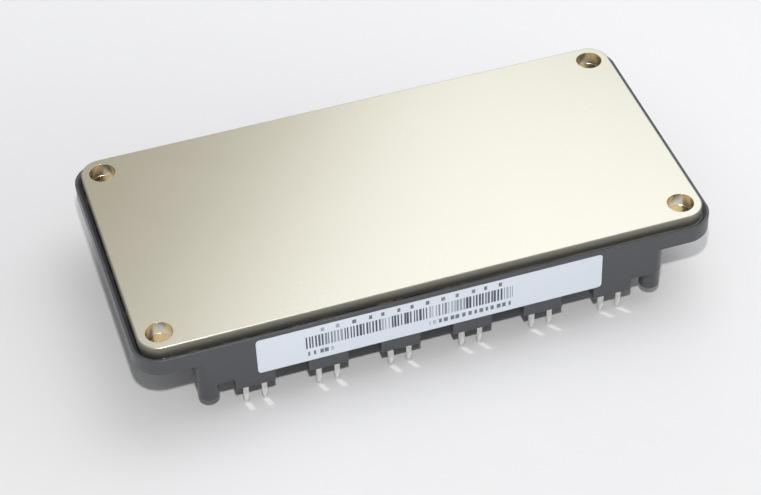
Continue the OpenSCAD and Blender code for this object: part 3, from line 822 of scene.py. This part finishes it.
class MODULE_OT_case(bpy.types.Operator):
    """Build the moulded case frame with its ears, rim, pin blocks and screw domes"""

    bl_idname = "module.case_frame"
    bl_label = "Case frame"

    def execute(self, context):
        shape = context.scene.module_shape
        soft, lip, slope = shape.case_round / MM, shape.lip_width / MM, shape.slope_height / MM
        steps, lip_round, chamber_r, lid_r = shape.steps, 0.15, 1.5, 2.0
        tray = arc(FLANGE_R - soft, Z_EAR + soft, soft, -90, 0)
        tray += arc(FLANGE_R - lip_round, Z_RIM - lip_round, lip_round, 0, 90)
        tray += [(FLANGE_R - lip + 0.05, Z_RIM), (FLANGE_R - lip - 0.04, Z_RIM - 0.03)]
        foot = Z_RIM - slope
        tray += [(POCKET_R + 0.04, foot + 0.04), (POCKET_R, foot - 0.04), (POCKET_R, Z_SEAT)]
        case = raw_object("case_frame_body", lambda bm: swept(bm, HOLE_X, HOLE_Y, tray, steps * 2))

        inset = CASE_Y - DOME_Y
        wall = arc(inset - soft, Z_WALL + soft, soft, -90, 0) + [(inset, Z_EAR + 0.8)]
        round_r, dome_r = shape.dome_round / MM, shape.dome_radius / MM
        dome = arc(dome_r - round_r, Z_DOME + round_r, round_r, -90, 0, 6) + [(dome_r, Z_WALL + 2)]
        depth, width, end = shape.block_depth / MM, shape.block_width / MM, shape.block_end / MM

        def block(bm, x, side):
            across = on_side(side, CASE_Y - depth, CASE_Y)
            soft_box(bm, (x - width / 2, x + width / 2), across, (end, Z_WALL + 0.9), 0.2)

        added = [lambda bm: swept(bm, BODY_X - inset, CASE_Y - inset, wall, steps)]
        added += four_turned(DOME_X, DOME_Y, dome, 40)
        added += for_each(block_places(), block)
        combine(case, added, "UNION")

        def box(bm, x, y, low, high, radius):
            swept(bm, x - radius, y - radius, [(radius, low), (radius, high)], steps)

        def slot(bm, x, side):
            half = PIN_W / 2 + SLOT_GAP
            inner, outer, top = CHAMBER_Y - PAST, PIN_OUT + SLOT_GAP, PIN_TOP + 0.02
            ledge, back, low = top - PIN_T - SLOT_GAP, outer - PIN_T - 2 * SLOT_GAP, end - PAST
            line = [(inner, ledge), (back, ledge), (back, low), (outer, low), (outer, top), (inner, top)]
            prism(bm, [(side * y, z) for y, z in line], x - half, x + half)

        mouth = 0.12
        bore = [(DOME_HOLE_R + mouth, Z_DOME - PAST), (DOME_HOLE_R + mouth, Z_DOME)]
        bore += [(DOME_HOLE_R, Z_DOME + mouth), (DOME_HOLE_R, Z_DOME + shape.dome_hole / MM)]
        seat = [(BUSH_R, Z_EAR - PAST), (BUSH_R, Z_SEAT + PAST)]
        cuts = [
            lambda bm: box(bm, CHAMBER_X, WINDOW_Y, PIN_TOP - PAST, Z_SEAT + 0.5, chamber_r),
            lambda bm: box(bm, CHAMBER_X, CHAMBER_Y, Z_LID - PAST, PIN_TOP, chamber_r),
            lambda bm: box(bm, LID_X + LID_GAP, LID_Y + LID_GAP, Z_WALL - PAST, Z_LID, lid_r),
        ]
        cuts += four_turned(HOLE_X, HOLE_Y, seat, 64)
        cuts += four_turned(DOME_X, DOME_Y, bore, 32)
        cuts += for_each(pin_places(), slot)
        combine(case, cuts, "DIFFERENCE")
        combine(case, [lambda bm: label_plate(bm, shape, LABEL_GAP, PAST)], "DIFFERENCE")
        finish_piece(case, "plastic", "case_frame")
        return {"FINISHED"}


def label_plate(bm, shape, grow, thick):
    """Adds a plate over the label's place on the front wall, larger by grow all round."""
    corner = shape.label_corner / MM
    half_l, half_h = (LABEL_X[1] - LABEL_X[0]) / 2 - corner, (LABEL_Z[1] - LABEL_Z[0]) / 2 - corner
    rim = min(0.03, thick / 3)
    out = corner + grow
    profile = [(out - rim, 0), (out, rim), (out, thick - rim), (out - rim, thick)]
    swept(bm, half_l, half_h, profile, 8)
    turn = Matrix.Rotation(math.radians(90), 4, "X")
    move = Matrix.Translation((sum(LABEL_X) / 2 * MM, LABEL_Y[1] * MM, sum(LABEL_Z) / 2 * MM))
    bmesh.ops.transform(bm, matrix=move @ turn, verts=bm.verts)


class MODULE_OT_lid(bpy.types.Operator):
    """Build the lid with its recessed panel and inner ribs"""

    bl_idname = "module.lid"
    bl_label = "Lid"

    def execute(self, context):
        shape = context.scene.module_shape
        corner, edge, bevel = 1.9, 0.15, 0.12
        x, y = LID_X - corner, LID_Y - corner
        profile = arc(corner - edge, Z_WALL + edge, edge, -90, 0, 3) + [(corner, Z_LID)]
        lid = raw_object("lid_body", lambda bm: swept(bm, x, y, profile, shape.steps))
        rib_x, rib_half, sunk = middle("terminal_n", 0), 0.6, 0.5

        def rib(bm, at):
            across, height = (-WINDOW_Y, WINDOW_Y), (Z_LID - sunk, Z_RIB)
            soft_box(bm, (at - rib_half, at + rib_half), across, height, edge)

        combine(lid, for_each([(-rib_x,), (rib_x,)], rib), "UNION")
        border, deep = shape.lid_border / MM, shape.lid_recess / MM
        panel = [(corner + bevel, Z_WALL - PAST), (corner + bevel, Z_WALL)]
        panel += [(corner, Z_WALL + bevel), (corner, Z_WALL + deep)]
        combine(lid, [lambda bm: swept(bm, x - border, y - border, panel, shape.steps)], "DIFFERENCE")
        finish_piece(lid, "plastic", "lid")
        return {"FINISHED"}


class MODULE_OT_adhesive(bpy.types.Operator):
    """Build the adhesive bead in the gap round the base plate"""

    bl_idname = "module.adhesive_bead"
    bl_label = "Adhesive bead"

    def execute(self, context):
        shape = context.scene.module_shape
        low = Z_GLUE - (POCKET_R - PLATE_R)
        profile = [(POCKET_R, Z_SEAT)] + [(POCKET_R - inward, low + up) for inward, up in BEAD_SLOPE]
        profile += [(PLATE_R, Z_GLUE), (PLATE_R, Z_INNER)]

        def ripple(n, x, y):
            if n in (0, len(profile) - 1):
                return 0
            wave = sum(size * math.sin(x * a + y * b + c) for size, a, b, c in BEAD_WAVES)
            return -0.035 * (wave + 2)

        def bead_solid(bm):
            swept(bm, HOLE_X, HOLE_Y, profile, shape.steps, 60, ripple)

        bead = raw_object("adhesive_bead_body", bead_solid)
        corner, back = 1.5, 1.0
        x, y = CHAMBER_X + back - corner, WINDOW_Y + back - corner
        opening = [(corner, Z_SEAT - PAST), (corner, Z_INNER + PAST)]
        ring = [(BUSH_R + 0.3, Z_SEAT - PAST), (BUSH_R + 0.3, Z_INNER + PAST)]
        cuts = [lambda bm: swept(bm, x, y, opening, 8)]
        cuts += four_turned(HOLE_X, HOLE_Y, ring, 48)
        combine(bead, cuts, "DIFFERENCE")
        finish_piece(bead, "adhesive", "adhesive_bead", 50)
        return {"FINISHED"}


class MODULE_OT_bushes(bpy.types.Operator):
    """Build the four turned mounting bushes"""

    bl_idname = "module.mounting_bushes"
    bl_label = "Mounting bushes"

    def execute(self, context):
        edge = 0.15
        half = [(HOLE_R, edge), (HOLE_R + edge, 0), (BUSH_R - edge, 0), (BUSH_R, edge)]
        profile = [(r, Z_EAR + up) for r, up in half] + [(r, Z_INNER - up) for r, up in reversed(half)]
        for i in range(1, 5):
            name = f"mounting_bush_{i}"
            x, y = middle(name, 0), middle(name, 1)
            bush = raw_object(f"{name}_body", lambda bm: turned(bm, x, y, profile, 64, closed=True))
            finish_piece(bush, "brass", name)
        return {"FINISHED"}


def section(half, thick, edge):
    """Outline of a pin's cross-section with rounded corners, as (along the module, thickness)."""
    points = []
    for sx, sy, start in CORNERS:
        points += arc(sx * (half - edge), sy * (thick / 2 - edge), edge, start, start + 90, 3)
    return points


def pin(bm, shape, x, side):
    """Adds one stamped pin: tapered tip, shank, and a foot bent inward on the bonding ledge."""
    edge, taper = shape.pin_round / MM, shape.pin_taper / MM
    half = PIN_W / 2
    row, level = PIN_OUT - PIN_T / 2, PIN_TOP - PIN_T / 2
    rings = []
    for up, wide, thick in PIN_NOSE:
        outline = section(half * wide, PIN_T * thick, min(edge, half * wide * 0.6))
        rings.append([(x + u, side * (row + v), up * taper) for u, v in outline])
    shank, end = section(half, PIN_T, edge), section(half - 0.08, PIN_T - 0.16, edge / 2)
    for y, mitre, outline in ((row, 1, shank), (PIN_END + 0.1, 0, shank), (PIN_END, 0, end)):
        rings.append([(x + u, side * (y + mitre * v), level + v) for u, v in outline])
    join_rings(bm, [vertices(bm, ring) for ring in rings])


class MODULE_OT_signal_pins(bpy.types.Operator):
    """Build the gate and emitter pins of the front row"""

    bl_idname = "module.signal_pins"
    bl_label = "Signal pins"

    def execute(self, context):
        shape = context.scene.module_shape
        for name in SIGNAL_PINS:
            piece = raw_object(f"{name}_body", lambda bm: pin(bm, shape, middle(name, 0), -1))
            finish_piece(piece, "tin", name)
        return {"FINISHED"}


class MODULE_OT_terminals(bpy.types.Operator):
    """Build the power terminals of the rear row, each with two prongs"""

    bl_idname = "module.power_terminals"
    bl_label = "Power terminals"

    def execute(self, context):
        shape = context.scene.module_shape
        for letter in TERMINALS:
            name = f"terminal_{letter}"
            low, high = span(name, 0)
            left, right = low + PIN_W / 2, high - PIN_W / 2
            piece = raw_object(f"{name}_body", lambda bm: pin(bm, shape, left, 1))
            across, height = (PIN_END, PIN_END + BAR_W), (PIN_TOP - PIN_T + BAR_INSET, PIN_TOP - BAR_INSET)
            parts = [lambda bm: pin(bm, shape, right, 1)]
            parts += [lambda bm: soft_box(bm, (left, right), across, height, 0.1)]
            combine(piece, parts, "UNION")
            finish_piece(piece, "tin", name)
        return {"FINISHED"}


class MODULE_OT_label(bpy.types.Operator):
    """Build the label on the front wall"""

    bl_idname = "module.label"
    bl_label = "Label"

    def execute(self, context):
        shape = context.scene.module_shape
        label = raw_object("label_sheet", lambda bm: label_plate(bm, shape, 0.0, LABEL_Y[1] - LABEL_Y[0]))
        finish_piece(label, "label", "label")
        return {"FINISHED"}


class MODULE_OT_inner(bpy.types.Operator):
    """Give the substrates, chips, wires and gel inside their finishes"""

    bl_idname = "module.inner_stack"
    bl_label = "Inner stack"

    def execute(self, context):
        layers = {
            "substrate_solder": "solder",
            "back_copper": "copper",
            "ceramic": "alumina",
            "top_copper": "copper",
            "chip_solder": "solder",
            "bond_wires": "wire",
        }
        names = {f"{layer}_{phase}": finish for layer, finish in layers.items() for phase in PHASES}
        names.update({f"{kind}_chip_{i}": "silicon" for kind in ("igbt", "diode") for i in SWITCHES})
        names["silicone_gel"] = "gel"
        for name, finish in names.items():
            obj = NODES[name]
            if not obj.material_slots:
                obj.data.materials.append(None)
            for slot in obj.material_slots:
                slot.material = finish_of(finish)
        return {"FINISHED"}


# ---- stage

KEY_PLACE, KEY_AIM = (-81, -285, 394), (0, -20, 0)
SOFT_FROM, SOFT_SIZE, SOFT_AIM = (51, 61), (0.6, 0.5), (0, 0, 10)  # azimuth and elevation, metres, place
SOFT_DISTANCE, FILL_DISTANCE = 550, 590
HORIZON_SHADE = 0.9
BEHIND = (0.05, 0.765, 0.64)
FLOOR_HALF = 4000
LIFT_FROM, LIFT_START, LIFT_END = (-0.06, -0.06, 0.0), 0.08, 0.19
# shape of the painted glints that the floor shows past the front pins
GLINT_TURN = 1.65  # how much steeper the pins' faces throw the light than it comes
GLINT_CORE, GLINT_EDGE = 0.35, 0.62  # half widths of a glint as shares of a pin's width
GLINT_FADE_IN, GLINT_FADE_OUT = (0.0, 0.4), (2.0, 2.7)
CAMERA_PLACE = (-97.973, -326.763, 323.093)
CAMERA_AXES = (  # right, up and backward
    (0.950147, -0.31039, -0.02965),
    (0.232877, 0.643188, 0.729437),
    (-0.207339, -0.699977, 0.683405),
)
CAMERA_SHIFT = (-0.0051, -0.0011)


def painted_pin_glints(tree, place):
    """Mask of painted glints that the floor shows where the front pins would throw the small lamp's light,
    turned aside by their tapered faces.
    """
    spot = split(tree, place)
    gap = minus(tree, -PIN_OUT * MM, spot["Y"])
    run = (KEY_PLACE[1] + PIN_OUT) * MM / GLINT_TURN
    along = minus(tree, spot["X"], times(tree, gap, KEY_PLACE[0] * MM / run))
    foot = maths(tree, "DIVIDE", along, minus(tree, 1.0, maths(tree, "DIVIDE", gap, run)))
    first, pitch = middle("gate_pin_1", 0), middle("gate_pin_2", 0) - middle("gate_pin_1", 0)
    half_pair = (middle("emitter_pin_1", 0) - first) / 2
    pair = maths(tree, "DIVIDE", minus(tree, foot, (first + half_pair) * MM), pitch * MM)
    from_pair = maths(tree, "ABSOLUTE", minus(tree, pair, maths(tree, "ROUND", pair)))
    from_pin = maths(tree, "ABSOLUTE", minus(tree, from_pair, half_pair / pitch))
    core, edge = GLINT_CORE * PIN_W / pitch, GLINT_EDGE * PIN_W / pitch
    beam = ramp(tree, from_pin, core, edge, 1.0, 0.0, smooth=True)
    from_centre = maths(tree, "ABSOLUTE", minus(tree, pair, (len(SWITCHES) - 1) / 2))
    inside = maths(tree, "LESS_THAN", from_centre, len(SWITCHES) / 2 - 0.1)
    start = ramp(tree, gap, *(g * MM for g in GLINT_FADE_IN), smooth=True)
    end = ramp(tree, gap, *(g * MM for g in GLINT_FADE_OUT), 1.0, 0.0, smooth=True)
    return times(tree, times(tree, beam, inside), times(tree, start, end))


def floor_finish(stage):
    """Pale floor that keeps the shadow, is seen to brighten away from the module, and glows with painted
    glints past the front pins.
    """
    material, tree, shader = new_material("floor_paper", roughness=0.9, specular_ior_level=0.1)
    shader.inputs["Emission Color"].default_value = (1, 1, 1, 1)
    feed(tree, shader, "Base Color", mottled(tree, rgba(stage.floor), 0.9, 50, 0.015, 0.0)["Color"])
    place = node(tree, "ShaderNodeNewGeometry").outputs["Position"]
    away = vector_maths(tree, "DISTANCE", place, LIFT_FROM)["Value"]
    far = ramp(tree, away, LIFT_START, LIFT_END, 0.0, stage.lift, smooth=True)
    # painted glints: floor emission past the front pins, seen by camera and mirror rays only
    glow = maths(tree, "ADD", far, times(tree, painted_pin_glints(tree, place), stage.glint))
    rays = node(tree, "ShaderNodeLightPath").outputs
    mirrored = maths(tree, "MAXIMUM", rays["Is Glossy Ray"], rays["Is Transmission Ray"])
    seen = maths(tree, "MAXIMUM", rays["Is Camera Ray"], mirrored)
    feed(tree, shader, "Emission Strength", times(tree, glow, seen))
    return material


def direction(azimuth, elevation, distance):
    """A place at a distance in millimetres, with its azimuth taken from behind the module towards +X."""
    a, e = math.radians(azimuth), math.radians(elevation)
    level = math.cos(e) * distance
    return (math.sin(a) * level, math.cos(a) * level, math.sin(e) * distance)


def lamp(name, place, target, size, power, tint):
    """A flat lamp of a width and height at a place in millimetres, turned towards a target."""
    data = bpy.data.lights.new(name, "AREA")
    data.shape = "RECTANGLE"
    data.size, data.size_y = size
    data.energy = power
    data.color = tint
    obj = bpy.data.objects.new(name, data)
    bpy.context.scene.collection.objects.link(obj)
    start, end = Vector(place) * MM, Vector(target) * MM
    obj.matrix_world = Matrix.Translation(start) @ (end - start).to_track_quat("-Z", "Y").to_matrix().to_4x4()
    return obj


class MODULE_OT_stage(bpy.types.Operator):
    """Build the floor, the lamps, the sky and the camera"""

    bl_idname = "module.stage"
    bl_label = "Stage"

    def execute(self, context):
        scene = context.scene
        stage = scene.module_stage
        floor = raw_object("floor", lambda bm: floor_sheet(bm, FLOOR_HALF))
        floor.data.materials.append(floor_finish(stage))
        key_size = (stage.key_size, stage.key_size)
        lamp("key_lamp", KEY_PLACE, KEY_AIM, key_size, stage.key_power, stage.key_tint)
        near, behind = direction(*SOFT_FROM, SOFT_DISTANCE), direction(*SOFT_FROM, FILL_DISTANCE)
        lamp("soft_lamp", near, SOFT_AIM, SOFT_SIZE, stage.soft_power, stage.soft_tint)
        matt_twin = lamp("fill_lamp", behind, SOFT_AIM, SOFT_SIZE, stage.fill_power, stage.fill_tint)
        matt_twin.visible_glossy = False
        sky(scene, stage)
        view(scene, stage)
        return {"FINISHED"}


def floor_sheet(bm, half):
    """Adds a flat square round the origin."""
    bm.faces.new(vertices(bm, [(sx * half, sy * half, 0) for sx, sy in SIGNS]))


def sky(scene, stage):
    """A soft, nearly even sky."""
    world = bpy.data.worlds.new("studio_sky")
    world.use_nodes = True
    tree = world.node_tree
    back = next(n for n in tree.nodes if n.type == "BACKGROUND")
    place = node(tree, "ShaderNodeTexCoord").outputs["Generated"]
    height = split(tree, place)["Z"]
    horizon = rgba(HORIZON_SHADE * c for c in stage.sky_tint)
    shade = blend_colour(tree, ramp(tree, height, 0.0, 0.8), horizon, rgba(stage.sky_tint))
    toward = vector_maths(tree, "DOT_PRODUCT", place, BEHIND)["Value"]
    shade = blend_colour(tree, ramp(tree, toward, 0.75, 1.0, smooth=True), shade, rgba(stage.back_tint))
    tree.links.new(shade, back.inputs["Color"])
    back.inputs["Strength"].default_value = stage.ambient
    scene.world = world


def view(scene, stage):
    """The camera, set as the module was seen."""
    data = bpy.data.cameras.new("camera")
    data.lens = stage.lens
    data.sensor_width = 36.0
    data.shift_x, data.shift_y = CAMERA_SHIFT
    data.clip_start, data.clip_end = 0.01, 20.0
    obj = bpy.data.objects.new("camera", data)
    scene.collection.objects.link(obj)
    turn = Matrix(CAMERA_AXES).transposed().to_4x4()
    obj.matrix_world = Matrix.Translation(Vector(CAMERA_PLACE) * MM) @ turn
    scene.camera = obj


class MODULE_PT_dresser(bpy.types.Panel):
    """Sidebar panel with the settings and the pieces of the module"""

    bl_idname = "MODULE_PT_dresser"
    bl_label = "Power module"
    bl_space_type = "VIEW_3D"
    bl_region_type = "UI"
    bl_category = "Module"

    def draw(self, context):
        for settings in (context.scene.module_shape, context.scene.module_finish, context.scene.module_stage):
            column = self.layout.box().column()
            for key in settings.__annotations__:
                column.prop(settings, key)
        for operator in OPERATORS:
            self.layout.operator(operator.bl_idname)


GROUP_CLASSES = (ModuleShape, ModuleFinish, ModuleStage)
OPERATORS = (
    MODULE_OT_base_plate,
    MODULE_OT_case,
    MODULE_OT_lid,
    MODULE_OT_adhesive,
    MODULE_OT_bushes,
    MODULE_OT_signal_pins,
    MODULE_OT_terminals,
    MODULE_OT_label,
    MODULE_OT_inner,
    MODULE_OT_stage,
)


def register():
    for cls in (*GROUP_CLASSES, *OPERATORS, MODULE_PT_dresser):
        bpy.utils.register_class(cls)
    bpy.types.Scene.module_shape = PointerProperty(type=ModuleShape)
    bpy.types.Scene.module_finish = PointerProperty(type=ModuleFinish)
    bpy.types.Scene.module_stage = PointerProperty(type=ModuleStage)


def unregister():
    del bpy.types.Scene.module_shape, bpy.types.Scene.module_finish, bpy.types.Scene.module_stage
    for cls in (MODULE_PT_dresser, *reversed(OPERATORS), *reversed(GROUP_CLASSES)):
        bpy.utils.unregister_class(cls)


def main():
    register()
    bpy.context.scene.view_settings.view_transform = "Standard"
    for operator in OPERATORS:
        group, name = operator.bl_idname.split(".")
        getattr(getattr(bpy.ops, group), name)()


if __name__ == "__main__":
    main()
